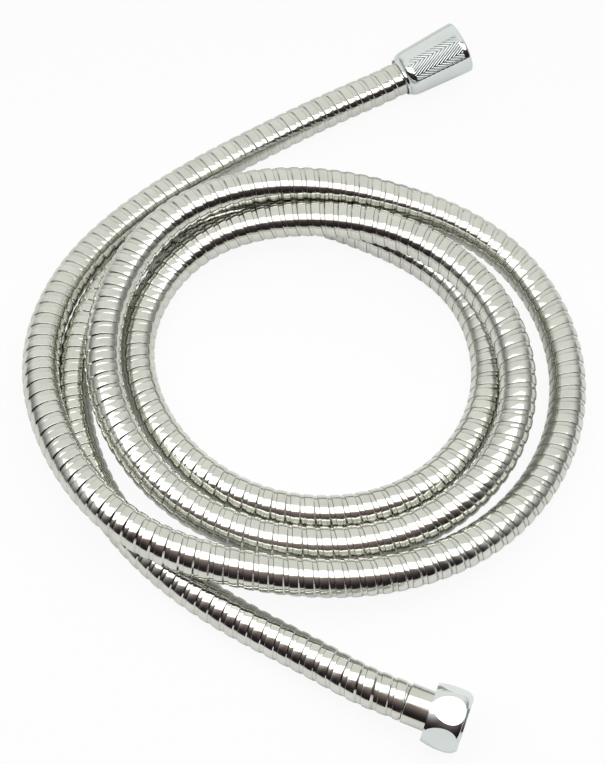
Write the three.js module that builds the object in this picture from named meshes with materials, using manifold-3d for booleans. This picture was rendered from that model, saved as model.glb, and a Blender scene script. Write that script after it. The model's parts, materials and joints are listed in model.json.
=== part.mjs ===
// A flexible metal shower hose in millimetres, +Z up, lying in a loose coil on the ground.
// A conical hand nut is on its upper end, and a hexagonal nut on its lower end.
// Both nuts turn freely on the ends of the hose. The origin is under the middle of the coil.

import * as THREE from 'three';
import { mergeVertices } from 'three/addons/utils/BufferGeometryUtils.js';
import Module from 'manifold-3d';

const wasm = await Module();
wasm.setup();

// Gap between pieces that touch or slide on each other
const CLEARANCE = 0.3;

// Hose: a steel sheath over a plastic water tube
const HOSE_DIAMETER = 16;
const SHEATH_WALL = 0.94;
const TUBE_WALL = 1.4;
const TUBE_SETBACK = 2;
const HELD_LENGTH = 6;
const HOSE_STEPS = 80;
const HOSE_SIDES = 12;
const TUBE_SIDES = 8;

// Ferrules: a sleeve just wider than the hose, with a spigot that holds the sheath
const FERRULE_STEP = 0.15;
const SPIGOT_WALL = 0.7;
const CONE_FERRULE_LENGTH = 11;
const HEX_FERRULE_LENGTH = 13.3;

// Inserts: a barbed stem in the water tube, with a sealing flange
const STEM_WALL = 0.6;
const BARB_PITCH = 3.5;
const BARB_DEPTH = 0.35;
const FLANGE_OVERLAP = 0.7;
const FLANGE_THICKNESS = 2;

// Rubber washers
const WASHER_BORE = 11;
const WASHER_THICKNESS = 2;

// Internal pipe thread of both nuts, cut as plain rings
const THREAD_MAJOR = 20.96;
const THREAD_MINOR = 18.63;
const THREAD_PITCH = 1.814;
const THREAD_LEAD_IN = 0.6;

// Conical hand nut, measured from the lip that the flange bears on
const CONE_THREAD_LENGTH = 9.1;
const CONE_LIP_LENGTH = 19.3;
const CONE_MOUTH_WALL = 2.12;
const CONE_MOUTH_ROUNDING = 0.9;
const CONE_TAIL_WALL = 0.82;
const CONE_COLLAR_LENGTH = 1.2;
const CONE_SHOULDER_LENGTH = 4;
const CONE_SHOULDER_RISE = 1.8;
const CONE_SHOULDER_POINTS = 4;
const EDGE_ROUNDING = 0.4;

// Hexagonal nut, with its corners turned to a barrel
const HEX_THREAD_LENGTH = 7.2;
const HEX_LIP_LENGTH = 3;
const HEX_WALL = 1.42;
const HEX_BULGE = 1.25;
const HEX_FULLNESS = 0.8;
const HEX_SKEW = 1.35;
const HEX_END_TURN = 0.1;
const HEX_CHAMFER = 1;
const HEX_BARREL_POINTS = 8;
const HEX_PLAY = 0.6;
const HEX_LEAN = THREE.MathUtils.degToRad(1.6);

const TURNED_SEGMENTS = 36;

// Centre of the hose, from the cone nut's ferrule to the hexagonal nut's ferrule
const ROUTE = [
  [48, 151.6, 10.53], [40.9, 148.1, 9.23], [25.6, 140.6, 8.2], [-23, 112.9, 8.2], [-68.5, 81.8, 8.2],
  [-102.5, 44.3, 9.4], [-115, -3.7, 16.6], [-102.5, -50.7, 23.4], [-70, -88.2, 25], [-26, -103.7, 21.6],
  [22, -106.2, 18.2], [71, -89.2, 13.2], [106, -49.2, 9.2], [114, 3.8, 8.2], [90, 50.8, 11.8],
  [43, 72.8, 20.8], [-7, 79.3, 24.8], [-55.5, 64.3, 25.2], [-85, 19.8, 22.6], [-82, -32.2, 19],
  [-49, -73.2, 14], [0.5, -90.2, 12.8], [52.5, -79.7, 13.2], [87, -41.7, 18.6], [86, 9.8, 23.2],
  [52, 48.8, 24.4], [1.5, 63.3, 21.6], [-47, 54.3, 13], [-73.5, 14.8, 8.8], [-60, -39.2, 8.2],
  [-9.5, -72.7, 8.2], [47.5, -64.2, 8.2], [79, -21.7, 8.2], [70.5, 31.3, 8.2], [26, 64.3, 8.2],
  [-28, 76.3, 8.2], [-79.5, 47.8, 8.2], [-101.5, -8.7, 8.2], [-81, -74.2, 8.2], [-22, -123.7, 8.4],
  [5.5, -138.9, 10], [26.8, -150.8, 12.1], [34.2, -153.8, 12.1],
].map(([x, y, z]) => new THREE.Vector3(x, y, z));

// How far the flats of a ring lie from its axis, as a share of its corners
function flatShare(sides) {
  return Math.cos(Math.PI / sides);
}

// Radii, from the sheath inwards to the water, and outwards to the nuts
const sheathRadius = HOSE_DIAMETER / 2;
const sheathBoreRadius = sheathRadius - SHEATH_WALL;
const spigotRadius = sheathBoreRadius * flatShare(HOSE_SIDES) - CLEARANCE;
const ferruleRadius = sheathRadius + FERRULE_STEP;
const ferruleBoreRadius = spigotRadius - SPIGOT_WALL;
const tubeRadius = ferruleBoreRadius * flatShare(TURNED_SEGMENTS) - CLEARANCE;
const tubeBoreRadius = tubeRadius - TUBE_WALL;
const stemRadius = tubeBoreRadius * flatShare(TUBE_SIDES) - CLEARANCE;
const waterRadius = stemRadius - BARB_DEPTH - STEM_WALL;
const nutBoreRadius = (ferruleRadius + CLEARANCE) / flatShare(TURNED_SEGMENTS);
const flangeRadius = nutBoreRadius + FLANGE_OVERLAP;
const seatRadius = (flangeRadius + CLEARANCE) / flatShare(TURNED_SEGMENTS);
const threadMajorRadius = THREAD_MAJOR / 2;
const threadMinorRadius = THREAD_MINOR / 2;
const socketRadius = Math.max(threadMajorRadius, seatRadius);

// A smooth curve through hand-placed points, straight towards its first and its last point
class RouteCurve extends THREE.Curve {
  constructor(points) {
    super();
    this.points = points;
    this.gaps = points.slice(1).map((point, index) => point.distanceTo(points[index]));
    this.slopes = this.settledSlopes();
    this.arcLengthDivisions = 2000;
  }

  settledSlopes() {
    const { points, gaps } = this;
    const last = points.length - 1;
    const between = (low, high, length) => points[high].clone().sub(points[low]).divideScalar(length);
    const slopes = points.map((point, index) => {
      if (index === 0) return between(0, 1, gaps[0]);
      if (index === last) return between(last - 1, last, gaps[last - 1]);
      return between(index - 1, index + 1, gaps[index - 1] + gaps[index]);
    });
    for (let sweep = 0; sweep < 60; sweep += 1) {
      for (let index = 1; index < last; index += 1) {
        const before = 1 / gaps[index - 1];
        const after = 1 / gaps[index];
        slopes[index] = between(index - 1, index, 1).multiplyScalar(3 * before * before)
          .add(between(index, index + 1, 1).multiplyScalar(3 * after * after))
          .addScaledVector(slopes[index - 1], -before)
          .addScaledVector(slopes[index + 1], -after)
          .divideScalar(2 * (before + after));
      }
    }
    return slopes;
  }

  getPoint(t, target = new THREE.Vector3()) {
    const place = t * this.gaps.length;
    const index = Math.min(Math.floor(place), this.gaps.length - 1);
    const s = place - index;
    const gap = this.gaps[index];
    return target.set(0, 0, 0)
      .addScaledVector(this.points[index], 2 * s ** 3 - 3 * s ** 2 + 1)
      .addScaledVector(this.slopes[index], gap * (s ** 3 - 2 * s ** 2 + s))
      .addScaledVector(this.points[index + 1], 3 * s ** 2 - 2 * s ** 3)
      .addScaledVector(this.slopes[index + 1], gap * (s ** 3 - s ** 2));
  }
}

// The same curve in equal steps, with one straight step more beyond each end
class HeldCurve extends THREE.Curve {
  constructor(middle, steps, startLength, endLength) {
    super();
    this.middle = middle;
    this.steps = steps;
    this.startLength = startLength;
    this.endLength = endLength;
  }

  getPointAt(u, target = new THREE.Vector3()) {
    const step = u * (this.steps + 2) - 1;
    const inside = THREE.MathUtils.clamp(step, 0, this.steps);
    const beyond = step < 0 ? step * this.startLength : (step - inside) * this.endLength;
    this.middle.getPointAt(inside / this.steps, target);
    return target.addScaledVector(this.getTangentAt(u), beyond);
  }

  getTangentAt(u, target = new THREE.Vector3()) {
    const inside = THREE.MathUtils.clamp(u * (this.steps + 2) - 1, 0, this.steps);
    if (inside === 0) return target.copy(this.middle.slopes[0]).normalize();
    if (inside === this.steps) return target.copy(this.middle.slopes.at(-1)).normalize();
    return this.middle.getTangentAt(inside / this.steps, target);
  }
}

const route = new RouteCurve(ROUTE);

function steel(color, roughness) {
  return new THREE.MeshStandardMaterial({ color, roughness, metalness: 1 });
}

const chrome = steel(0xd7dbdc, 0.12);
const sheathSteel = steel(0xcdcfc6, 0.25);
const brass = steel(0xc9a24f, 0.35);
const rubber = new THREE.MeshStandardMaterial({ color: 0x1d1d1f, roughness: 0.8, metalness: 0 });
const plastic = new THREE.MeshStandardMaterial({ color: 0xe4e4de, roughness: 0.5, metalness: 0 });

function namedMesh(name, geometry, material) {
  const mesh = new THREE.Mesh(geometry, material);
  mesh.name = name;
  return mesh;
}

function ringPoints(radius, sides) {
  const corners = [];
  for (let side = 0; side < sides; side += 1) {
    const angle = (2 * Math.PI * side) / sides;
    corners.push(new THREE.Vector2(radius * Math.cos(angle), radius * Math.sin(angle)));
  }
  return corners;
}

// A hollow tube that follows the route, straight over its last stretch at both ends
function routedTube(outerRadius, innerRadius, sides, startLength, endLength) {
  const section = new THREE.Shape(ringPoints(outerRadius, sides));
  section.holes.push(new THREE.Path(ringPoints(innerRadius, sides)));
  const extrudePath = new HeldCurve(route, HOSE_STEPS, startLength, endLength);
  return new THREE.ExtrudeGeometry(section, { steps: HOSE_STEPS + 2, extrudePath });
}

// A turned ring. The profile goes up on the outside and down on the inside, as [radius, height].
function turned(profile) {
  const points = [...profile, profile[0]].map(([radius, height]) => new THREE.Vector2(radius, height));
  return new THREE.LatheGeometry(points, TURNED_SEGMENTS);
}

function solidOf(geometry) {
  const bare = geometry.clone();
  bare.deleteAttribute('normal');
  bare.deleteAttribute('uv');
  const merged = mergeVertices(bare);
  return new wasm.Manifold(new wasm.Mesh({
    numProp: 3,
    vertProperties: new Float32Array(merged.attributes.position.array),
    triVerts: new Uint32Array(merged.index.array),
  }));
}

function geometryOf(solid) {
  const mesh = solid.getMesh();
  const geometry = new THREE.BufferGeometry();
  geometry.setAttribute('position', new THREE.BufferAttribute(mesh.vertProperties, 3));
  geometry.setIndex(new THREE.BufferAttribute(mesh.triVerts, 1));
  geometry.computeVertexNormals();
  return geometry;
}

// Heights in a fitting are measured outwards from the end of the sheath.

function tubeReach(ferruleLength) {
  return ferruleLength - TUBE_SETBACK;
}

function lipHeight(ferruleLength) {
  return ferruleLength + CLEARANCE;
}

function flangeHeight(ferruleLength) {
  return lipHeight(ferruleLength) + CLEARANCE;
}

function washerHeight(ferruleLength) {
  return flangeHeight(ferruleLength) + FLANGE_THICKNESS + CLEARANCE;
}

function mouthHeight(ferruleLength, threadLength) {
  return washerHeight(ferruleLength) + WASHER_THICKNESS + threadLength;
}

function ferrule(length) {
  return turned([
    [spigotRadius, -HELD_LENGTH],
    [spigotRadius, CLEARANCE],
    [ferruleRadius - EDGE_ROUNDING, CLEARANCE],
    [ferruleRadius, CLEARANCE + EDGE_ROUNDING],
    [ferruleRadius, CLEARANCE + length],
    [ferruleBoreRadius, CLEARANCE + length],
    [ferruleBoreRadius, -HELD_LENGTH],
  ]);
}

function insert(ferruleLength) {
  const flange = flangeHeight(ferruleLength);
  const rootRadius = stemRadius - BARB_DEPTH;
  const barbCount = Math.floor((HELD_LENGTH + tubeReach(ferruleLength)) / BARB_PITCH);
  const profile = [];
  for (let barb = 0; barb < barbCount; barb += 1) {
    profile.push([rootRadius, -HELD_LENGTH + barb * BARB_PITCH]);
    profile.push([stemRadius, -HELD_LENGTH + (barb + 1) * BARB_PITCH]);
  }
  profile.push([rootRadius, -HELD_LENGTH + barbCount * BARB_PITCH]);
  profile.push([rootRadius, flange]);
  profile.push([flangeRadius, flange]);
  profile.push([flangeRadius, flange + FLANGE_THICKNESS]);
  profile.push([waterRadius, flange + FLANGE_THICKNESS]);
  profile.push([waterRadius, -HELD_LENGTH]);
  return turned(profile);
}

function washer(ferruleLength) {
  const foot = washerHeight(ferruleLength);
  return turned([
    [flangeRadius, foot],
    [flangeRadius, foot + WASHER_THICKNESS],
    [WASHER_BORE / 2, foot + WASHER_THICKNESS],
    [WASHER_BORE / 2, foot],
  ]);
}

// The inside of a nut, from its mouth down: lead-in, thread, seat of the flange, and the hose's bore
function nutBore(mouth, threadLength, lip, tail) {
  const start = mouth - THREAD_LEAD_IN;
  const turns = Math.floor((threadLength - THREAD_LEAD_IN) / THREAD_PITCH);
  const bore = [[threadMajorRadius, mouth]];
  for (let turn = 0; turn < turns; turn += 1) {
    bore.push([threadMinorRadius, start - turn * THREAD_PITCH]);
    bore.push([threadMajorRadius, start - (turn + 0.5) * THREAD_PITCH]);
  }
  bore.push([threadMinorRadius, start - turns * THREAD_PITCH]);
  bore.push([seatRadius, mouth - threadLength]);
  bore.push([seatRadius, lip]);
  bore.push([nutBoreRadius, lip]);
  bore.push([nutBoreRadius, tail]);
  return bore;
}

function coneNut() {
  const lip = lipHeight(CONE_FERRULE_LENGTH);
  const tail = lip - CONE_LIP_LENGTH;
  const mouth = mouthHeight(CONE_FERRULE_LENGTH, CONE_THREAD_LENGTH);
  const mouthRadius = socketRadius + CONE_MOUTH_WALL;
  const tailRadius = nutBoreRadius + CONE_TAIL_WALL;
  const profile = [
    [tailRadius - EDGE_ROUNDING, tail],
    [tailRadius, tail + EDGE_ROUNDING],
  ];
  for (let step = 0; step <= CONE_SHOULDER_POINTS; step += 1) {
    const angle = (Math.PI / 2) * (step / CONE_SHOULDER_POINTS);
    const rise = CONE_SHOULDER_RISE * Math.sin(angle);
    const run = CONE_SHOULDER_LENGTH * (1 - Math.cos(angle));
    profile.push([tailRadius + rise, tail + CONE_COLLAR_LENGTH + run]);
  }
  profile.push([mouthRadius, mouth - CONE_MOUTH_ROUNDING]);
  profile.push([mouthRadius - CONE_MOUTH_ROUNDING, mouth]);
  return turned([...profile, ...nutBore(mouth, CONE_THREAD_LENGTH, lip, tail)]);
}

// The hexagonal nut lies on one of its flats. It leans sideways by its play on the flange.
function hexNut() {
  const lip = lipHeight(HEX_FERRULE_LENGTH);
  const tail = lip - HEX_LIP_LENGTH;
  const mouth = mouthHeight(HEX_FERRULE_LENGTH, HEX_THREAD_LENGTH);
  const flatRadius = socketRadius + HEX_WALL;
  const barrelTop = mouth - HEX_CHAMFER;
  const profile = [];
  for (let step = 0; step <= HEX_BARREL_POINTS; step += 1) {
    const share = (1 - Math.cos((Math.PI * step) / HEX_BARREL_POINTS)) / 2;
    const swell = (1 - (2 * share ** HEX_SKEW - 1) ** 2) ** HEX_FULLNESS;
    const radius = flatRadius - HEX_END_TURN + (HEX_BULGE + HEX_END_TURN) * swell;
    profile.push([radius, THREE.MathUtils.lerp(tail, barrelTop, share)]);
  }
  profile.push([flatRadius - HEX_CHAMFER, mouth]);
  profile.push(...nutBore(mouth, HEX_THREAD_LENGTH, lip, tail));
  const cornerRadius = flatRadius / flatShare(6);
  const prism = new THREE.CylinderGeometry(cornerRadius, cornerRadius, 2 * (mouth - tail), 6);
  prism.rotateY(Math.PI / 6);
  prism.translate(0, (tail + mouth) / 2, 0);
  const nut = geometryOf(solidOf(turned(profile)).intersect(solidOf(prism)));
  nut.translate(0, -lip, 0);
  return nut;
}

// A group whose Y axis leads out of one end of the hose, from the end of the sheath
function fitting(end, outward, pieces) {
  const group = new THREE.Group();
  group.position.copy(end).addScaledVector(outward, HELD_LENGTH);
  group.quaternion.setFromUnitVectors(new THREE.Vector3(0, 1, 0), outward);
  group.add(...pieces);
  return group;
}

const coneOutward = route.slopes[0].clone().negate().normalize();
const hexOutward = route.slopes.at(-1).clone().normalize();

const sheath = routedTube(sheathRadius, sheathBoreRadius, HOSE_SIDES, HELD_LENGTH, HELD_LENGTH);
const tube = routedTube(
  tubeRadius,
  tubeBoreRadius,
  TUBE_SIDES,
  HELD_LENGTH + tubeReach(CONE_FERRULE_LENGTH),
  HELD_LENGTH + tubeReach(HEX_FERRULE_LENGTH),
);

const hexNutMesh = namedMesh('hex_nut', hexNut(), chrome);
hexNutMesh.position.y = lipHeight(HEX_FERRULE_LENGTH) - HEX_PLAY;
hexNutMesh.rotation.z = HEX_LEAN;

const hose = new THREE.Group();
hose.add(
  namedMesh('outer_sheath', sheath, sheathSteel),
  namedMesh('inner_tube', tube, plastic),
  fitting(ROUTE[0], coneOutward, [
    namedMesh('cone_nut', coneNut(), chrome),
    namedMesh('cone_ferrule', ferrule(CONE_FERRULE_LENGTH), chrome),
    namedMesh('cone_insert', insert(CONE_FERRULE_LENGTH), brass),
    namedMesh('cone_washer', washer(CONE_FERRULE_LENGTH), rubber),
  ]),
  fitting(ROUTE.at(-1), hexOutward, [
    hexNutMesh,
    namedMesh('hex_ferrule', ferrule(HEX_FERRULE_LENGTH), chrome),
    namedMesh('hex_insert', insert(HEX_FERRULE_LENGTH), brass),
    namedMesh('hex_washer', washer(HEX_FERRULE_LENGTH), rubber),
  ]),
);

export default hose;
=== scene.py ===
"""A coiled metal shower hose with a conical nut and a hexagonal nut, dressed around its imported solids.

Every length is in metres, in the part's own frame.
"""

import json
import math

import bmesh
import bpy
import numpy as np
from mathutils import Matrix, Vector


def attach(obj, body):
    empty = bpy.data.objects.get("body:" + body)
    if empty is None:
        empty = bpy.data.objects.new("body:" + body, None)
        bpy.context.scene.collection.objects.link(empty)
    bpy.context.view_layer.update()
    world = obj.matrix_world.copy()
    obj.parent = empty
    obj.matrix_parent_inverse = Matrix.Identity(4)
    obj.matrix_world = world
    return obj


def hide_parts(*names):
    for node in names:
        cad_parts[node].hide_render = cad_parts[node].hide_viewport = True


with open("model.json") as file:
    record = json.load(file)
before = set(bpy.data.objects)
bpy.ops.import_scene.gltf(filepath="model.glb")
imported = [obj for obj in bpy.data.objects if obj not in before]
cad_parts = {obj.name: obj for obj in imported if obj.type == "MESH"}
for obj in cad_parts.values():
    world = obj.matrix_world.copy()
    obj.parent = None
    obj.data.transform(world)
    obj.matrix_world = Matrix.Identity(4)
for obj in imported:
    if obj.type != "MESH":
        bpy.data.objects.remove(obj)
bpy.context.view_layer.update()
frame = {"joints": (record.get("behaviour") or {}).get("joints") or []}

MM = 0.001

# Photo and camera
PHOTO_HEIGHT = 764
FOCAL_PIXELS = 1590.5
SENSOR_SIZE = 36.0
CAMERA_TARGET = Vector((-0.00114, -0.01248, 0.008))
CAMERA_DISTANCE = 0.6972
CAMERA_ELEVATION = math.radians(63.5)

# Hose
LINE_STEP = 0.5 * MM
CURVE_STEPS = 60
SETTLING_ROUNDS = 60
BEND_SMOOTHING = 9
PATH_SPACING = 4 * MM
HOSE_DIAMETER = 16 * MM
HELD_LENGTH = 6 * MM
SHEATH_BORE_RADIUS = 7.06 * MM
SHEATH_END_RADIUS = 7.6 * MM
SHEATH_AROUND = 26
LINER_SPACING = 12 * MM
TUBE_RADIUS = 5.5 * MM
TUBE_BORE_RADIUS = 4.1 * MM
TUBE_SETBACK = 2 * MM
TUBE_ROWS = 400
TUBE_SIDES = 20
TUBE_SHARP = math.radians(40)

# Turns of the sheath's strip: their pitch in the coil, and how much further the ends are pulled out
PITCH = 6.02 * MM
START_PULL = 0.62 * MM
START_REACH = 100 * MM
END_PULL = 0.4 * MM
END_REACH = 60 * MM
TURN_MARGIN = 40 * MM
SPARE_TURNS = 2

# One turn's section: the raised band, the ramp down, the sunk band and the slit, with leans in degrees;
# the shade values are painted shade, darkening the colour at the edge, ramp, sunk band and slit
BAND_SHARE = 0.62
BAND_CROWN = 0.08 * MM
EDGE_RUN = 0.2 * MM
EDGE_DROP = 0.36 * MM
EDGE_LEAN = -60
EDGE_SHADE = 0.5
RAMP_DROP = 0.128 * MM
RAMP_RISE = 0.04 * MM
RAMP_FOOT = 0.05 * MM
RAMP_LEAN = 42
RAMP_SHADE = 0.15
SUNK_SHARE = 0.3
SUNK_DEPTH = 0.45 * MM
SUNK_LEAN = 10
SUNK_SHADE = 0.1
SLIT_DEPTH = 0.9 * MM
SLIT_SHADE = 0.8
LEAST_SLIT = 0.14 * MM

# Fittings, in heights measured outwards from the end of the sheath
CLEARANCE = 0.3 * MM
SPIGOT_RADIUS = 6.52 * MM
FERRULE_RADIUS = 8.15 * MM
FERRULE_BORE_RADIUS = 5.82 * MM
CONE_FERRULE_LENGTH = 11 * MM
HEX_FERRULE_LENGTH = 13.3 * MM
STEM_RADIUS = 3.49 * MM
BARB_DEPTH = 0.35 * MM
BARB_PITCH = 3.5 * MM
WATER_RADIUS = 2.54 * MM
FLANGE_RADIUS = 9.18 * MM
FLANGE_THICKNESS = 2 * MM
WASHER_BORE_RADIUS = 5.5 * MM
WASHER_THICKNESS = 2 * MM
EDGE = 0.35 * MM
EDGE_STEPS = 3
STRAIGHT_CORNER = -0.96
MOST_OF_SIDE = 0.4
TURNED_SHARP = math.radians(35)

# Nuts
THREAD_MAJOR_RADIUS = 10.48 * MM
THREAD_MINOR_RADIUS = 9.315 * MM
THREAD_PITCH = 1.814 * MM
THREAD_ROWS = 8
THREAD_RUN_IN = 2 * MM
NUT_BORE_RADIUS = 8.48 * MM
SEAT_RADIUS = 9.52 * MM
CONE_THREAD_LENGTH = 9.1 * MM
CONE_TAIL = -8 * MM
CONE_MOUTH = 25 * MM
HEX_THREAD_LENGTH = 7.2 * MM
HEX_TAIL = -3 * MM
HEX_MOUTH = 11.8 * MM
HEX_FLAT = 11.9 * MM
HEX_BULGE = 1.25 * MM
HEX_FULLNESS = 0.8
HEX_SKEW = 1.35
HEX_END_TURN = 0.1 * MM
HEX_CHAMFER = 1 * MM
HEX_EASE = 0.1 * MM
HEX_ROWS = 44
HEX_SHARP = math.radians(12)

# Grip panels of the conical nut
PANEL_COUNT = 3
PANEL_CENTRE = math.radians(31)
PANEL_WIDTH = math.radians(62)
PANEL_START = -3.3 * MM
PANEL_END = 22.4 * MM
PANEL_COLUMN = 6.3 * MM
PANEL_SIDE_RAMP = 0.7 * MM
PANEL_FOOT_RAMP = 0.6 * MM
PANEL_TOP_RAMP = 0.4 * MM
PANEL_SINK = 0.1
PANEL_MARGIN = 0.01
PANEL_COLUMNS = 80
PLAIN_COLUMNS = 14
PANEL_ROW_SPACING = 0.22 * MM
GROOVE_PITCH = 2.28 * MM
GROOVE_DEPTH = 0.18 * MM
GROOVE_ANGLE = math.radians(28.5)
# Painted shade in the grip grooves: where it starts and stops by a groove's depth, and its dark colour
GROOVE_SHADE_START = 0.375
GROOVE_SHADE_END = 1.1
GROOVE_PAINTED_SHADE = (0.1, 0.13, 0.13)

# Studio
FLOOR_HALF = 1.5
FLOOR_COLOUR = (0.86, 0.87, 0.86)
FLOOR_SEEN = 0.92
FLOOR_MIRRORED = 0.2
BACK_LIGHT = (0.88, 0.885, 0.85)
FRONT_DARK = (0.02, 0.015, 0.017)
FRONT_GLOW = (0.42, 0.32, 0.31)
FRONT_GLOW_POWER = 4.0
FRONT_FACING = (0.1, 0.7)
FRONT_HEIGHT = (0.985, 0.93)
SIDE_DARK = (0.09, 0.09, 0.1)
SIDE_SHARE = 0.8
SIDE_FACING = (-0.85, -0.4)
SIDE_HEIGHT = (0.85, 0.12)
LAMP_SIZE = (0.75, 0.25)
LAMP_PLACE = (0.0, -0.077, 0.36)
LAMP_POWER = 1.0

# Centre of the hose, from the cone nut's ferrule to the hexagonal nut's ferrule
ROUTE = [
    (0.048, 0.1516, 0.01053), (0.0409, 0.1481, 0.00923), (0.0256, 0.1406, 0.0082),
    (-0.023, 0.1129, 0.0082), (-0.0685, 0.0818, 0.0082), (-0.1025, 0.0443, 0.0094),
    (-0.115, -0.0037, 0.0166), (-0.1025, -0.0507, 0.0234), (-0.07, -0.0882, 0.025),
    (-0.026, -0.1037, 0.0216), (0.022, -0.1062, 0.0182), (0.071, -0.0892, 0.0132),
    (0.106, -0.0492, 0.0092), (0.114, 0.0038, 0.0082), (0.09, 0.0508, 0.0118), (0.043, 0.0728, 0.0208),
    (-0.007, 0.0793, 0.0248), (-0.0555, 0.0643, 0.0252), (-0.085, 0.0198, 0.0226),
    (-0.082, -0.0322, 0.019), (-0.049, -0.0732, 0.014), (0.0005, -0.0902, 0.0128),
    (0.0525, -0.0797, 0.0132), (0.087, -0.0417, 0.0186), (0.086, 0.0098, 0.0232),
    (0.052, 0.0488, 0.0244), (0.0015, 0.0633, 0.0216), (-0.047, 0.0543, 0.013),
    (-0.0735, 0.0148, 0.0088), (-0.06, -0.0392, 0.0082), (-0.0095, -0.0727, 0.0082),
    (0.0475, -0.0642, 0.0082), (0.079, -0.0217, 0.0082), (0.0705, 0.0313, 0.0082),
    (0.026, 0.0643, 0.0082), (-0.028, 0.0763, 0.0082), (-0.0795, 0.0478, 0.0082),
    (-0.1015, -0.0087, 0.0082), (-0.081, -0.0742, 0.0082), (-0.022, -0.1237, 0.0084),
    (0.0055, -0.1389, 0.01), (0.0268, -0.1508, 0.0121), (0.0342, -0.1538, 0.0121),
]


# Camera

def make_camera():
    data = bpy.data.cameras.new("camera")
    data.sensor_width = SENSOR_SIZE
    data.lens = FOCAL_PIXELS * SENSOR_SIZE / PHOTO_HEIGHT
    camera = bpy.data.objects.new("camera", data)
    bpy.context.scene.collection.objects.link(camera)
    back = Vector((0, -math.cos(CAMERA_ELEVATION), math.sin(CAMERA_ELEVATION)))
    camera.location = CAMERA_TARGET + CAMERA_DISTANCE * back
    camera.rotation_euler = (math.pi / 2 - CAMERA_ELEVATION, 0, 0)
    bpy.context.scene.camera = camera


# Hose centreline

def settled_slopes(points, gaps):
    """The slopes of a smooth curve through the points, straight towards the first and the last."""
    last = len(points) - 1
    slopes = np.zeros_like(points)
    slopes[0] = (points[1] - points[0]) / gaps[0]
    slopes[last] = (points[last] - points[last - 1]) / gaps[last - 1]
    for index in range(1, last):
        slopes[index] = (points[index + 1] - points[index - 1]) / (gaps[index - 1] + gaps[index])
    for _ in range(SETTLING_ROUNDS):
        for index in range(1, last):
            before = 1 / gaps[index - 1]
            after = 1 / gaps[index]
            pull = 3 * (points[index] - points[index - 1]) * before * before
            pull = pull + 3 * (points[index + 1] - points[index]) * after * after
            pull = pull - slopes[index - 1] * before - slopes[index + 1] * after
            slopes[index] = pull / (2 * (before + after))
    return slopes


def spline_points(points, per_gap):
    """Points along the smooth curve, per_gap of them for each gap between the given points."""
    gaps = np.linalg.norm(np.diff(points, axis=0), axis=1)
    slopes = settled_slopes(points, gaps)
    t = np.arange(per_gap)[:, None] / per_gap
    rows = []
    for index, gap in enumerate(gaps):
        rows.append(
            (2 * t ** 3 - 3 * t ** 2 + 1) * points[index]
            + (t ** 3 - 2 * t ** 2 + t) * gap * slopes[index]
            + (3 * t ** 2 - 2 * t ** 3) * points[index + 1]
            + (t ** 3 - t ** 2) * gap * slopes[index + 1]
        )
    rows.append(points[-1:])
    return np.vstack(rows)


def unit(rows):
    return rows / np.linalg.norm(rows, axis=-1, keepdims=True)


class Centreline:
    """The hose's line by its length: place, direction, side, up and bend at any distance along it."""

    def __init__(self):
        curve = spline_points(np.array(ROUTE), CURVE_STEPS)
        along = np.r_[0, np.cumsum(np.linalg.norm(np.diff(curve, axis=0), axis=1))]
        count = int(along[-1] / LINE_STEP)
        self.bent_length = along[-1]
        self.s = np.linspace(0, along[-1], count)
        place = np.stack([np.interp(self.s, along, curve[:, k]) for k in range(3)], 1)
        tangent = unit(np.gradient(place, self.s, axis=0))
        tangent[0] = unit(curve[1] - curve[0])
        tangent[-1] = unit(curve[-1] - curve[-2])
        bend = np.gradient(tangent, self.s, axis=0)
        kernel = np.ones(BEND_SMOOTHING) / BEND_SMOOTHING
        bend = np.stack([np.convolve(bend[:, k], kernel, "same") for k in range(3)], 1)
        normal = np.zeros_like(place)
        side = np.cross(tangent[0], (0.0, 0.0, 1.0))
        normal[0] = side / np.linalg.norm(side)
        for index in range(1, count):
            carried = normal[index - 1] - tangent[index] * np.dot(normal[index - 1], tangent[index])
            normal[index] = carried / np.linalg.norm(carried)
        self.place = place
        self.tangent = tangent
        self.normal = normal
        self.bend = bend
        self.start = -HELD_LENGTH
        self.end = self.bent_length + HELD_LENGTH

    def _pick(self, table, s):
        """The rows of a table of the line's points, at the distances s."""
        return np.stack([np.interp(s, self.s, table[:, k]) for k in range(3)], -1)

    def at(self, s):
        """Place, normal, binormal and bend at the distances s, straight beyond both ends."""
        tangent = unit(self._pick(self.tangent, s))
        inside = np.clip(s, 0, self.bent_length)
        place = self._pick(self.place, s) + tangent * (s - inside)[..., None]
        normal = self._pick(self.normal, s)
        normal = unit(normal - tangent * np.sum(normal * tangent, -1, keepdims=True))
        binormal = np.cross(tangent, normal)
        bend = self._pick(self.bend, s) * ((s > 0) & (s < self.bent_length))[..., None]
        return place, normal, binormal, bend


def outwards(angle, normal, binormal):
    """The direction away from the line at an angle around it."""
    return np.cos(angle)[..., None] * normal + np.sin(angle)[..., None] * binormal


# Mesh helpers

def new_object(name, vertices, faces, material, normals=None, sharp=None):
    mesh = bpy.data.meshes.new(name)
    mesh.from_pydata([tuple(v) for v in vertices], [], [tuple(f) for f in faces])
    mesh.update()
    mesh.polygons.foreach_set("use_smooth", [True] * len(mesh.polygons))
    if sharp is not None:
        mesh.set_sharp_from_angle(angle=sharp)
    if normals is not None:
        mesh.normals_split_custom_set_from_vertices([tuple(n) for n in normals])
    mesh.materials.append(material)
    thing = bpy.data.objects.new(name, mesh)
    bpy.context.scene.collection.objects.link(thing)
    return thing


def compacted(vertices, faces, *tables):
    """The same mesh without unused vertices, with the tables of its vertices cut the same way."""
    used = np.unique(np.concatenate([np.array(face) for face in faces]))
    number = np.full(len(vertices), -1)
    number[used] = np.arange(len(used))
    faces = [[int(number[v]) for v in face] for face in faces]
    return (vertices[used], faces) + tuple(table[used] for table in tables)


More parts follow.
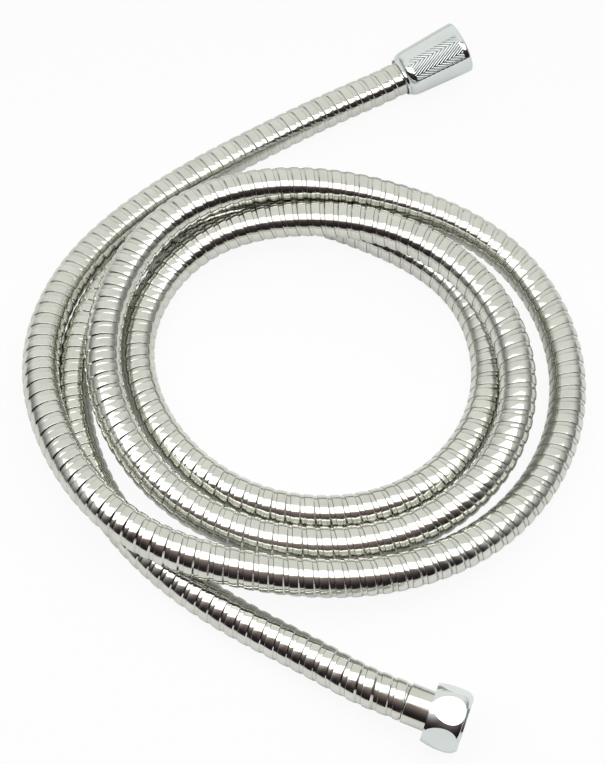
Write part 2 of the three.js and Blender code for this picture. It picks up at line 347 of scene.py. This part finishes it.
def laid(local, origin, axis):
    """Local (x, y, height) points laid along an axis, with x pointing up and y to its right side."""
    axis = np.array(axis) / np.linalg.norm(axis)
    side = np.cross(axis, (0.0, 0.0, 1.0))
    side = side / np.linalg.norm(side)
    up = np.cross(side, axis)
    return np.array(origin) + local @ np.array([up, side, axis])


def closed_grid(rows, columns):
    """The faces of a grid of points that closes on itself both ways."""
    faces = []
    for row in range(rows):
        here = row * columns
        after = (row + 1) % rows * columns
        for column in range(columns):
            beside = (column + 1) % columns
            faces.append((here + column, here + beside, after + beside, after + column))
    return faces


def turned_object(name, rows, place, material, sharp=TURNED_SHARP):
    """A closed ring of rows, each a radius, a height and angles, laid at a place of (origin, axis)."""
    columns = max(np.size(value) for row in rows for value in row)
    grid = np.array([[np.broadcast_to(value, columns) for value in row] for row in rows])
    radius, height, angle = grid[:, 0], grid[:, 1], grid[:, 2]
    local = np.stack([radius * np.cos(angle), radius * np.sin(angle), height], -1)
    vertices = laid(local.reshape(-1, 3), *place)
    thing = new_object(name, vertices, closed_grid(len(rows), columns), material)
    mesh = bmesh.new()
    mesh.from_mesh(thing.data)
    bmesh.ops.remove_doubles(mesh, verts=mesh.verts, dist=0.002 * MM)
    bmesh.ops.dissolve_degenerate(mesh, edges=mesh.edges, dist=0.001 * MM)
    bmesh.ops.recalc_face_normals(mesh, faces=mesh.faces)
    mesh.to_mesh(thing.data)
    mesh.free()
    thing.data.set_sharp_from_angle(angle=sharp)
    return thing


def eased(profile):
    """A closed profile with its sharp corners rounded off."""
    points = [np.array(point, float) for point in profile]
    result = []
    for index, corner in enumerate(points):
        before = points[index - 1] - corner
        after = points[(index + 1) % len(points)] - corner
        before_length = np.linalg.norm(before)
        after_length = np.linalg.norm(after)
        turn = np.dot(before, after) / (before_length * after_length)
        if turn < STRAIGHT_CORNER:
            result.append(corner)
            continue
        run = min(EDGE, MOST_OF_SIDE * before_length, MOST_OF_SIDE * after_length)
        start = corner + before * run / before_length
        end = corner + after * run / after_length
        for step in range(EDGE_STEPS + 1):
            t = step / EDGE_STEPS
            result.append((1 - t) ** 2 * start + 2 * t * (1 - t) * corner + t ** 2 * end)
    return result


def lathe(name, profile, place, material, columns=72):
    angles = 2 * np.pi * np.arange(columns) / columns
    rows = [(radius, height, angles) for radius, height in eased(profile)]
    return turned_object(name, rows, place, material)


# Materials

class Nodes:
    """Short calls for the nodes of one node tree."""

    def __init__(self, tree):
        self.nodes = tree.nodes
        self.links = tree.links

    def maths(self, operation, *values):
        node = self.nodes.new("ShaderNodeMath")
        node.operation = operation
        for socket, value in zip(node.inputs, values):
            if isinstance(value, (int, float)):
                socket.default_value = value
            else:
                self.links.new(value, socket)
        return node.outputs[0]

    def fade(self, value, start, end):
        """0 before start and 1 after end, with a smooth step between."""
        node = self.nodes.new("ShaderNodeMapRange")
        node.interpolation_type = "SMOOTHSTEP"
        node.inputs["From Min"].default_value = start
        node.inputs["From Max"].default_value = end
        self.links.new(value, node.inputs["Value"])
        return node.outputs["Result"]

    def blend(self, share, first, second):
        """The first colour where share is 0 and the second where it is 1."""
        node = self.nodes.new("ShaderNodeMix")
        node.data_type = "RGBA"
        self.links.new(share, node.inputs[0])
        for socket, value in ((node.inputs[6], first), (node.inputs[7], second)):
            if isinstance(value, tuple):
                socket.default_value = (*value, 1)
            else:
                self.links.new(value, socket)
        return node.outputs[2]


class Shading(Nodes):
    """Node helpers around one material's principled shader."""

    def __init__(self, name, metallic, roughness):
        self.material = bpy.data.materials.new(name)
        self.material.use_nodes = True
        super().__init__(self.material.node_tree)
        self.shader = self.nodes["Principled BSDF"]
        self.shader.inputs["Metallic"].default_value = metallic
        self.shader.inputs["Roughness"].default_value = roughness
        self.place = self.nodes.new("ShaderNodeTexCoord").outputs["Object"]

    def noise(self, scale, detail=2.0):
        node = self.nodes.new("ShaderNodeTexNoise")
        node.inputs["Scale"].default_value = scale
        node.inputs["Detail"].default_value = detail
        self.links.new(self.place, node.inputs["Vector"])
        return node.outputs["Fac"]

    def spread(self, value, low, high):
        """A noise's middle range, stretched to run from low to high."""
        node = self.nodes.new("ShaderNodeMapRange")
        node.inputs["From Min"].default_value = 0.3
        node.inputs["From Max"].default_value = 0.7
        node.inputs["To Min"].default_value = low
        node.inputs["To Max"].default_value = high
        self.links.new(value, node.inputs["Value"])
        return node.outputs["Result"]

    def attribute(self, name):
        node = self.nodes.new("ShaderNodeAttribute")
        node.attribute_name = name
        return node.outputs["Fac"]

    def colour(self, value):
        self.links.new(value, self.shader.inputs["Base Color"])

    def roughness(self, value):
        self.links.new(value, self.shader.inputs["Roughness"])

    def bump(self, value, distance):
        node = self.nodes.new("ShaderNodeBump")
        node.inputs["Distance"].default_value = distance
        node.inputs["Strength"].default_value = 1.0
        self.links.new(value, node.inputs["Height"])
        self.links.new(node.outputs["Normal"], self.shader.inputs["Normal"])


def sheath_steel():
    shading = Shading("sheath_steel", 1, 0.12)
    clouds = shading.spread(shading.noise(90, 3), 0, 1)
    tone = shading.blend(clouds, (0.66, 0.67, 0.62), (0.76, 0.76, 0.71))
    # Painted shade: the slits, ramps and band edges darken towards near-black by the per-point shade
    # value
    shading.colour(shading.blend(shading.attribute("painted_shade"), tone, (0.03, 0.026, 0.024)))
    shading.roughness(shading.spread(shading.noise(400), 0.08, 0.17))
    shading.bump(shading.noise(260, 1), 0.02 * MM)
    return shading.material


def polished(name, dark, light, roughness):
    shading = Shading(name, 1, roughness)
    tone = shading.blend(shading.spread(shading.noise(120, 3), 0, 1), dark, light)
    # Painted shade: the colour darkens where the per-point shade value is set, in the conical nut's grip
    # grooves
    shading.colour(shading.blend(shading.attribute("painted_shade"), tone, GROOVE_PAINTED_SHADE))
    shading.roughness(shading.spread(shading.noise(500, 3), roughness * 0.7, roughness * 1.5))
    shading.bump(shading.noise(180, 1), 0.006 * MM)
    return shading.material


def turned_brass():
    shading = Shading("turned_brass", 1, 0.3)
    clouds = shading.spread(shading.noise(300, 4), 0, 1)
    shading.colour(shading.blend(clouds, (0.60, 0.44, 0.18), (0.80, 0.62, 0.30)))
    shading.roughness(shading.spread(shading.noise(900), 0.22, 0.42))
    shading.bump(shading.noise(2500, 2), 0.01 * MM)
    return shading.material


def moulded(name, dark, light, roughness, grain):
    shading = Shading(name, 0, roughness)
    shading.colour(shading.blend(shading.spread(shading.noise(350, 4), 0, 1), dark, light))
    shading.roughness(shading.spread(shading.noise(700), roughness - 0.08, roughness + 0.08))
    shading.bump(shading.noise(4000, 2), grain)
    return shading.material


SHEATH_STEEL = sheath_steel()
NUT_CHROME = polished("nut_chrome", (0.74, 0.79, 0.79), (0.80, 0.84, 0.83), 0.05)
SLEEVE_CHROME = polished("sleeve_chrome", (0.66, 0.67, 0.62), (0.74, 0.74, 0.69), 0.07)
BRASS = turned_brass()
RUBBER = moulded("washer_rubber", (0.012, 0.012, 0.013), (0.025, 0.025, 0.027), 0.7, 0.03 * MM)
PLASTIC = moulded("tube_plastic", (0.74, 0.74, 0.69), (0.82, 0.82, 0.78), 0.45, 0.01 * MM)


# Sheath: one strip wound as a right-handed helix, with a raised band and a sunk band in each turn

def turn_places(numbers):
    """Where the turns with these numbers lie along the hose, their pitch, and the last turn's number."""
    s = np.arange(line.start - TURN_MARGIN, line.end + TURN_MARGIN, LINE_STEP)
    pitch = PITCH + START_PULL * np.exp(-np.maximum(s - line.start, 0) / START_REACH)
    pitch = pitch + END_PULL * np.exp(-np.maximum(line.end - s, 0) / END_REACH)
    turn = np.r_[0, np.cumsum(LINE_STEP / pitch[:-1])]
    turn = turn - np.interp(line.start, s, turn)
    return np.interp(numbers, turn, s), np.interp(numbers, turn, pitch), np.interp(line.end, s, turn)


def strip_section(pitch, stretch):
    """One turn's points where the hose is stretched that much: offset, radius, lean and painted shade.

    A bend opens and closes only the ramp that leads down from the raised band to the sunk one.
    """
    outer = HOSE_DIAMETER / 2
    low = outer - SUNK_DEPTH
    real = pitch * stretch
    band = BAND_SHARE * pitch / 2
    sunk = np.minimum(SUNK_SHARE * pitch, real - 2 * band - 2 * LEAST_SLIT)
    ending = real - band - LEAST_SLIT
    start = ending - sunk
    crown = math.degrees(2 * BAND_CROWN / (BAND_SHARE * PITCH / 2))
    points = [
        (-band, outer - EDGE_DROP, EDGE_LEAN, EDGE_SHADE),
        (-band + EDGE_RUN, outer - BAND_CROWN, -crown, 0.0),
        (np.zeros_like(band), outer, 0, 0.0),
        (band - EDGE_RUN, outer - BAND_CROWN, crown, 0.0),
        (band, outer - RAMP_DROP, RAMP_LEAN, 0.0),
        (start, low + RAMP_RISE, RAMP_LEAN, RAMP_SHADE),
        (start + RAMP_FOOT, low, 0, RAMP_SHADE),
        (start + sunk / 2, low, 0, 0.0),
        (ending, low, SUNK_LEAN, SUNK_SHADE),
        (ending + LEAST_SLIT / 2, outer - SLIT_DEPTH, 0, SLIT_SHADE),
    ]
    offsets = np.stack([point[0] for point in points], -1) / stretch[..., None]
    radii, leans, painted_shades = (np.array([point[k] for point in points], float) for k in (1, 2, 3))
    return offsets, radii, np.radians(leans), painted_shades


def rowed(table):
    """A table by turn, place around and point of the section, as one list of rows around the hose."""
    turns, around, points = table.shape[:3]
    return np.moveaxis(table, 1, 2).reshape((turns * around * points,) + table.shape[3:])


def wound_strip():
    """The strip's vertices, normals, painted shade and sides beyond the ends, and a section's point
    count.
    """
    turns = int(turn_places(0)[2]) + SPARE_TURNS + 1
    around = np.arange(SHEATH_AROUND)
    angle = 2 * np.pi * around / SHEATH_AROUND
    number = np.arange(-SPARE_TURNS, turns)[:, None] + around[None, :] / SHEATH_AROUND
    centre, pitch, _ = turn_places(number)
    _, normal, binormal, bend = line.at(centre)
    stretch = 1 - HOSE_DIAMETER / 2 * np.sum(bend * outwards(angle, normal, binormal), -1)
    offsets, radii, leans, painted_shades = strip_section(pitch, stretch)
    s = centre[..., None] + offsets
    beyond = np.where(s <= line.start, -1, np.where(s >= line.end, 1, 0))
    place, normal, binormal, _ = line.at(s)
    outward = outwards(angle[:, None], normal, binormal)
    along = np.cross(normal, binormal)
    vertices = place + radii[:, None] * outward
    normals = np.cos(leans)[:, None] * outward + np.sin(leans)[:, None] * along
    painted_shade = np.broadcast_to(painted_shades, s.shape)
    return rowed(vertices), rowed(normals), rowed(painted_shade), rowed(beyond), len(painted_shades)


def strip_faces(target, size, points):
    """The strip's faces. The last place around a row joins the first of the same row a turn later."""
    faces = []
    for row in range(size // SHEATH_AROUND - points - 1):
        for i in range(SHEATH_AROUND):
            here = row * SHEATH_AROUND + i
            beside = here + 1 if i + 1 < SHEATH_AROUND else (row + points) * SHEATH_AROUND
            corners = (here, beside, beside + SHEATH_AROUND, here + SHEATH_AROUND)
            face = list(dict.fromkeys(int(target[corner]) for corner in corners))
            if len(face) > 2 and not all(vertex >= size for vertex in face):
                faces.append(face)
    return faces


def end_and_bore_rings():
    """The ring at the sheath's start, the ring at its end, and then the rings of its bore."""
    bore_s = np.linspace(line.start, line.end, int((line.end - line.start) / LINER_SPACING))
    ring_s = np.r_[line.start, line.end, bore_s]
    radius = np.r_[SHEATH_END_RADIUS, SHEATH_END_RADIUS, np.full(len(bore_s), SHEATH_BORE_RADIUS)]
    angle = 2 * np.pi * np.arange(SHEATH_AROUND) / SHEATH_AROUND
    place, normal, binormal, _ = line.at(ring_s[:, None] + 0 * angle)
    return place + radius[:, None, None] * outwards(angle, normal, binormal)


def ring_faces(size, last):
    """The faces that join both end rings to the bore, and the bore's rings to each other."""
    pairs = [(2, 0), (1, last)] + [(ring + 1, ring) for ring in range(2, last)]
    faces = []
    for first, second in pairs:
        low = size + first * SHEATH_AROUND
        high = size + second * SHEATH_AROUND
        for i in range(SHEATH_AROUND):
            j = (i + 1) % SHEATH_AROUND
            faces.append([low + i, low + j, high + j, high + i])
    return faces


def make_sheath():
    """The wound strip, cut off at both end rings, with a plain bore."""
    vertices, normals, painted_shade, beyond, points = wound_strip()
    size = len(vertices)
    column = np.tile(np.arange(SHEATH_AROUND), size // SHEATH_AROUND)
    target = np.where(beyond > 0, size + SHEATH_AROUND + column, np.arange(size))
    target = np.where(beyond < 0, size + column, target)
    rings = end_and_bore_rings()
    ring_vertices = rings.reshape(-1, 3)
    vertices = np.vstack([vertices, ring_vertices])
    normals = np.vstack([normals, np.zeros_like(ring_vertices)])
    painted_shade = np.r_[painted_shade, np.zeros(len(ring_vertices))]
    faces = strip_faces(target, size, points) + ring_faces(size, len(rings) - 1)
    vertices, faces, normals, painted_shade = compacted(vertices, faces, normals, painted_shade)
    sheath = new_object("hose_sheath", vertices, faces, SHEATH_STEEL, normals)
    # Painted shade for the slits and band edges, which the steel's colour reads
    sheath.data.attributes.new("painted_shade", "FLOAT", "POINT").data.foreach_set("value", painted_shade)
    return sheath


def make_water_tube():
    start = line.start - CONE_FERRULE_LENGTH + TUBE_SETBACK
    end = line.end + HEX_FERRULE_LENGTH - TUBE_SETBACK
    s = np.linspace(start, end, TUBE_ROWS)
    angle = 2 * np.pi * np.arange(TUBE_SIDES) / TUBE_SIDES
    place, normal, binormal, _ = line.at(s[:, None] + 0 * angle)
    outward = outwards(angle, normal, binormal)
    vertices = np.vstack([
        (place + TUBE_RADIUS * outward).reshape(-1, 3),
        (place + TUBE_BORE_RADIUS * outward)[::-1].reshape(-1, 3),
    ])
    return new_object(
        "water_tube", vertices, closed_grid(2 * TUBE_ROWS, TUBE_SIDES), PLASTIC, sharp=TUBE_SHARP
    )


def hose_path():
    """Points along the sheath's middle, from its start to its end."""
    s = np.linspace(line.start, line.end, int((line.end - line.start) / PATH_SPACING))
    return line.at(s)[0]


# Fittings

def ferrule_profile(length):
    return [
        (SPIGOT_RADIUS, -HELD_LENGTH),
        (SPIGOT_RADIUS, CLEARANCE),
        (FERRULE_RADIUS, CLEARANCE),
        (FERRULE_RADIUS, CLEARANCE + length),
        (FERRULE_BORE_RADIUS, CLEARANCE + length),
        (FERRULE_BORE_RADIUS, -HELD_LENGTH),
    ]


def insert_profile(ferrule_length):
    foot = -HELD_LENGTH
    flange = ferrule_length + 2 * CLEARANCE
    root = STEM_RADIUS - BARB_DEPTH
    count = int((HELD_LENGTH + ferrule_length - TUBE_SETBACK) / BARB_PITCH)
    profile = []
    for barb in range(count):
        profile.append((root, foot + barb * BARB_PITCH))
        profile.append((STEM_RADIUS, foot + (barb + 0.97) * BARB_PITCH))
    profile.append((root, foot + count * BARB_PITCH))
    profile.append((root, flange))
    profile.append((FLANGE_RADIUS, flange))
    profile.append((FLANGE_RADIUS, flange + FLANGE_THICKNESS))
    profile.append((WATER_RADIUS, flange + FLANGE_THICKNESS))
    profile.append((WATER_RADIUS, foot))
    return profile


def washer_profile(ferrule_length):
    foot = ferrule_length + 3 * CLEARANCE + FLANGE_THICKNESS
    top = foot + WASHER_THICKNESS
    return [
        (FLANGE_RADIUS, foot),
        (FLANGE_RADIUS, top),
        (WASHER_BORE_RADIUS, top),
        (WASHER_BORE_RADIUS, foot),
    ]


def bore_rows(mouth, thread_length, lip, tail, angles):
    """A nut's inside from its mouth down: chamfer, right-handed thread, flange seat and hose bore."""
    rows = [(THREAD_MAJOR_RADIUS + EDGE, mouth, angles), (THREAD_MAJOR_RADIUS, mouth - EDGE, angles)]
    foot = mouth - thread_length
    count = int(thread_length / THREAD_PITCH * THREAD_ROWS)
    for height in np.linspace(mouth - 2 * EDGE, foot, count):
        phase = (height / THREAD_PITCH - angles / (2 * np.pi)) % 1
        crest = np.clip(2.4 * np.abs(2 * phase - 1) - 0.7, 0, 1)
        fade = min((mouth - height) / THREAD_RUN_IN, 1)
        radius = THREAD_MAJOR_RADIUS - crest * fade * (THREAD_MAJOR_RADIUS - THREAD_MINOR_RADIUS)
        rows.append((radius, height, angles))
    rows.append((SEAT_RADIUS, foot - EDGE, angles))
    rows.append((SEAT_RADIUS, lip, angles))
    rows.append((NUT_BORE_RADIUS, lip, angles))
    rows.append((NUT_BORE_RADIUS, tail + EDGE, angles))
    rows.append((NUT_BORE_RADIUS + EDGE, tail, angles))
    return rows


def cone_profile():
    """Heights and radii of the conical nut's outside in millimetres, from its collar to its mouth."""
    return [
        (-8.0, 9.0), (-7.9, 9.22), (-7.7, 9.3), (-7.0, 9.3), (-6.88, 9.12), (-6.75, 9.12), (-6.65, 9.4),
        (-6.4, 9.78), (-6.0, 10.14), (-5.5, 10.44), (-4.8, 10.72), (-4.0, 10.92), (-3.0, 11.06),
        (-2.0, 11.14), (24.0, 12.56), (24.45, 12.48), (24.8, 12.22), (25.0, 11.8),
    ]


def zigzag(across):
    """How far along the nut a grip groove has run at a distance across its panel."""
    run = 1 / math.tan(GROOVE_ANGLE)
    half = PANEL_COLUMN / 2
    inside = np.clip(across, -half, half)
    return run * (across - 2 * inside)


def grip_depth(angles, height, radius):
    """How deep the grip panels lie under the conical nut's surface."""
    panel = 2 * np.pi / PANEL_COUNT
    local = (angles - PANEL_CENTRE + panel / 2) % panel - panel / 2
    across = local * radius
    edge = np.clip((PANEL_WIDTH / 2 * radius - np.abs(across)) / PANEL_SIDE_RAMP, 0, 1)
    low = np.clip((height - PANEL_START) / PANEL_FOOT_RAMP, 0, 1)
    high = np.clip((PANEL_END - height) / PANEL_TOP_RAMP, 0, 1)
    phase = (height - zigzag(across)) / GROOVE_PITCH
    groove = 0.5 - 0.5 * np.cos(2 * np.pi * phase)
    return GROOVE_DEPTH * edge * low * high * (PANEL_SINK + (1 - PANEL_SINK) * groove)


def cone_columns():
    """Angles around the conical nut, close together on its panels."""
    panel = 2 * np.pi / PANEL_COUNT
    reach = PANEL_WIDTH / 2 + PANEL_MARGIN
    fine = np.linspace(-reach, reach, PANEL_COLUMNS)
    plain = np.linspace(reach, panel - reach, PLAIN_COLUMNS)[1:-1]
    one = np.r_[fine, plain]
    return np.concatenate([PANEL_CENTRE + k * panel + one for k in range(PANEL_COUNT)])


def shade_grooves(nut, heights, radii):
    """Writes how deep in a groove each of the conical nut's points lies, from 0 to 1, as painted shade
    that darkens its colour.
    """
    points = np.array([vertex.co for vertex in nut.data.vertices]) - np.array(CONE_JOINT["pos_m"])
    level = points @ unit(np.array(CONE_JOINT["axis"]))
    radius = np.sqrt(np.sum(points * points, 1) - level * level)
    share = (np.interp(level, heights, radii) - radius) / GROOVE_DEPTH
    shade = np.clip((share - GROOVE_SHADE_START) / (1 - GROOVE_SHADE_START), 0, 1)
    shade = np.where(share < GROOVE_SHADE_END, shade, 0)
    nut.data.attributes.new("painted_shade", "FLOAT", "POINT").data.foreach_set("value", shade)


def make_cone_nut():
    angles = cone_columns()
    heights, radii = np.array(cone_profile()).T * MM
    fine = np.arange(PANEL_START - 0.1 * MM, PANEL_END + 0.2 * MM, PANEL_ROW_SPACING)
    rows = []
    for level in np.unique(np.r_[heights, fine]):
        radius = np.interp(level, heights, radii)
        rows.append((radius - grip_depth(angles, level, radius), level, angles))
    lip = CONE_FERRULE_LENGTH + CLEARANCE
    rows.extend(bore_rows(CONE_MOUTH, CONE_THREAD_LENGTH, lip, CONE_TAIL, angles))
    place = (CONE_JOINT["pos_m"], CONE_JOINT["axis"])
    nut = turned_object("cone_nut_shell", rows, place, NUT_CHROME)
    shade_grooves(nut, heights, radii)
    return nut


def hex_angles(barrel):
    """Angles around the hexagonal nut at one height, with columns on the edges of its flats."""
    half = math.acos(HEX_FLAT / barrel) if barrel > HEX_FLAT else 0.0
    sector = math.pi / 6
    turned = np.linspace(-sector, -half, 6)[:-1]
    flat = np.linspace(-half, half, 9)
    one = np.r_[turned, flat, -turned[::-1][:-1]]
    return np.concatenate([k * 2 * sector + one for k in range(6)])


def make_hex_nut():
    """A hexagon cut out of a barrel, with a plain chamfer at its mouth."""
    rows = []
    top = HEX_MOUTH - HEX_CHAMFER
    for share in (1 - np.cos(np.linspace(0, np.pi, HEX_ROWS))) / 2:
        height = HEX_TAIL + share * (top - HEX_TAIL)
        swell = max(1 - (2 * share ** HEX_SKEW - 1) ** 2, 0) ** HEX_FULLNESS
        barrel = HEX_FLAT - HEX_END_TURN + (HEX_BULGE + HEX_END_TURN) * swell
        angles = hex_angles(barrel)
        local = (angles + math.pi / 6) % (math.pi / 3) - math.pi / 6
        rows.append((np.minimum(barrel, HEX_FLAT / np.cos(local)), height, angles))
    count = len(hex_angles(0))
    plain = 2 * np.pi * np.arange(count) / count + hex_angles(0)[0]
    rows.append((HEX_FLAT - HEX_END_TURN - HEX_EASE, top + 0.6 * HEX_EASE, plain))
    rows.append((HEX_FLAT - HEX_CHAMFER + HEX_EASE, HEX_MOUTH - HEX_EASE, plain))
    rows.append((HEX_FLAT - HEX_CHAMFER - 1.5 * HEX_EASE, HEX_MOUTH, plain))
    rows.extend(bore_rows(HEX_MOUTH, HEX_THREAD_LENGTH, 0.0, HEX_TAIL, plain))
    place = (HEX_JOINT["pos_m"], HEX_JOINT["axis"])
    return turned_object("hex_nut_shell", rows, place, NUT_CHROME, HEX_SHARP)


# Building

def seated(piece, body, node):
    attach(piece, body)
    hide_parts(node)


JOINTS = {joint["name"]: joint for joint in frame["joints"]}
CONE_JOINT = JOINTS["cone_nut_spin"]
HEX_JOINT = JOINTS["hex_nut_spin"]

make_camera()
line = Centreline()
path = hose_path()
CONE_END = (path[0], path[0] - path[1])
HEX_END = (path[-1], path[-1] - path[-2])

sheath = make_sheath()
seated(sheath, "hose", "outer_sheath")
seated(make_water_tube(), "hose", "inner_tube")
seated(make_cone_nut(), "cone_nut", "cone_nut")
seated(make_hex_nut(), "hex_nut", "hex_nut")
for end, place, length in (("cone", CONE_END, CONE_FERRULE_LENGTH), ("hex", HEX_END, HEX_FERRULE_LENGTH)):
    sleeve = lathe(end + "_sleeve", ferrule_profile(length), place, SLEEVE_CHROME)
    stem = lathe(end + "_stem", insert_profile(length), place, BRASS, 48)
    seal = lathe(end + "_seal", washer_profile(length), place, RUBBER)
    seated(sleeve, "hose", end + "_ferrule")
    seated(stem, "hose", end + "_insert")
    seated(seal, "hose", end + "_washer")


# Studio scene

def make_floor():
    corners = [(x * FLOOR_HALF, y * FLOOR_HALF, 0) for x, y in ((-1, -1), (1, -1), (1, 1), (-1, 1))]
    material = bpy.data.materials.new("floor")
    material.use_nodes = True
    tree = Nodes(material.node_tree)
    tree.nodes.clear()
    output = tree.nodes.new("ShaderNodeOutputMaterial")
    mix = tree.nodes.new("ShaderNodeMixShader")
    diffuse = tree.nodes.new("ShaderNodeBsdfDiffuse")
    diffuse.inputs["Color"].default_value = (*FLOOR_COLOUR, 1)
    glow = tree.nodes.new("ShaderNodeEmission")
    ray = tree.nodes.new("ShaderNodeLightPath").outputs
    seen = tree.maths("MULTIPLY", ray["Is Camera Ray"], FLOOR_SEEN)
    mirrored = tree.maths("MAXIMUM", ray["Is Glossy Ray"], ray["Is Transmission Ray"])
    share = tree.maths("MAXIMUM", seen, tree.maths("MULTIPLY", mirrored, FLOOR_MIRRORED))
    tree.links.new(share, mix.inputs[0])
    tree.links.new(diffuse.outputs[0], mix.inputs[1])
    tree.links.new(glow.outputs[0], mix.inputs[2])
    tree.links.new(mix.outputs[0], output.inputs["Surface"])
    new_object("floor", corners, [(0, 1, 2, 3)], material)


def make_world():
    """A pale room, dark in front and darker low at its sides. The camera itself sees plain white."""
    world = bpy.data.worlds.new("studio")
    bpy.context.scene.world = world
    world.use_nodes = True
    tree = Nodes(world.node_tree)
    background = tree.nodes["Background"]
    direction = tree.nodes.new("ShaderNodeTexCoord").outputs["Generated"]
    split = tree.nodes.new("ShaderNodeSeparateXYZ")
    tree.links.new(direction, split.inputs[0])
    x, y, z = split.outputs
    squares = [tree.maths("MULTIPLY", side, side) for side in (x, y)]
    level = tree.maths("SQRT", tree.maths("ADD", *squares))
    forward = tree.maths("DIVIDE", tree.maths("MULTIPLY", y, -1.0), tree.maths("MAXIMUM", level, 0.001))
    front = tree.maths("MULTIPLY", tree.fade(forward, *FRONT_FACING), tree.fade(z, *FRONT_HEIGHT))
    low = tree.maths("MULTIPLY", tree.fade(tree.maths("ABSOLUTE", z), *SIDE_HEIGHT), SIDE_SHARE)
    horizon = tree.maths("MULTIPLY", low, tree.fade(forward, *SIDE_FACING))
    room = tree.blend(horizon, BACK_LIGHT, SIDE_DARK)
    height = tree.maths("MAXIMUM", z, 0.0)
    glow = tree.blend(tree.maths("POWER", height, FRONT_GLOW_POWER), FRONT_DARK, FRONT_GLOW)
    room = tree.blend(front, room, glow)
    seen = tree.nodes.new("ShaderNodeLightPath").outputs["Is Camera Ray"]
    tree.links.new(tree.blend(seen, room, (1.0, 1.0, 1.0)), background.inputs["Color"])
    background.inputs["Strength"].default_value = 1.0


def make_lamp():
    data = bpy.data.lights.new("softbox", "AREA")
    data.shape = "RECTANGLE"
    data.size, data.size_y = LAMP_SIZE
    data.energy = LAMP_POWER
    lamp = bpy.data.objects.new("softbox", data)
    lamp.location = LAMP_PLACE
    lamp.visible_camera = False
    bpy.context.scene.collection.objects.link(lamp)


make_floor()
make_world()
make_lamp()
bpy.context.scene.view_settings.view_transform = "Standard"
